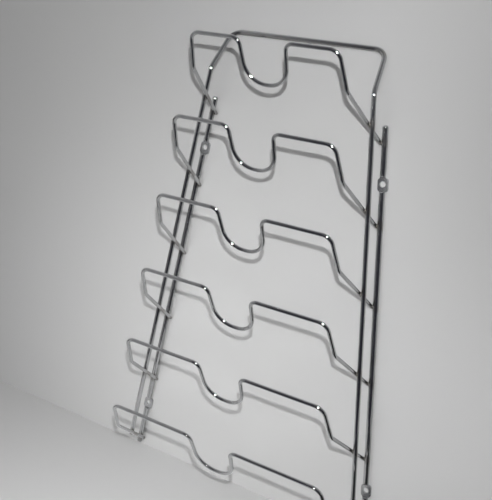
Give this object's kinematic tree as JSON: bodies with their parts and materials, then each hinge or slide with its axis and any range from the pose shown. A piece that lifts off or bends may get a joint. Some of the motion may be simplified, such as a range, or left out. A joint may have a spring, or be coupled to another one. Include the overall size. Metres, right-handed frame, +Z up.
{
  "type": "pot lid rack",
  "caption": "Wall-hung chrome wire rack that widens towards the foot, with sloping arms that hold pot lids and a dip in each wire for the lid's knob",
  "frame": {"origin": "the middle between the two upper screw holes, on the wall plane that the rear rails lie on", "axes": "+X right as seen from the front, +Y into the wall, +Z up along the rack's middle line"},
  "size_m": [0.294, 0.0898, 0.4831],
  "materials": {
    "rail_chrome": "bright plated steel rod",
    "frame_chrome": "bright plated steel rod",
    "wire_chrome": "bright plated steel wire"
  },
  "bodies": {
    "root": {"front_frame": "frame_chrome", "rear_rail_left": "rail_chrome", "rear_rail_right": "rail_chrome", "lid_wire_1": "wire_chrome", "lid_wire_2": "wire_chrome", "lid_wire_3": "wire_chrome", "lid_wire_4": "wire_chrome", "lid_wire_5": "wire_chrome", "lid_wire_6": "wire_chrome"}
  },
  "joints": []
}
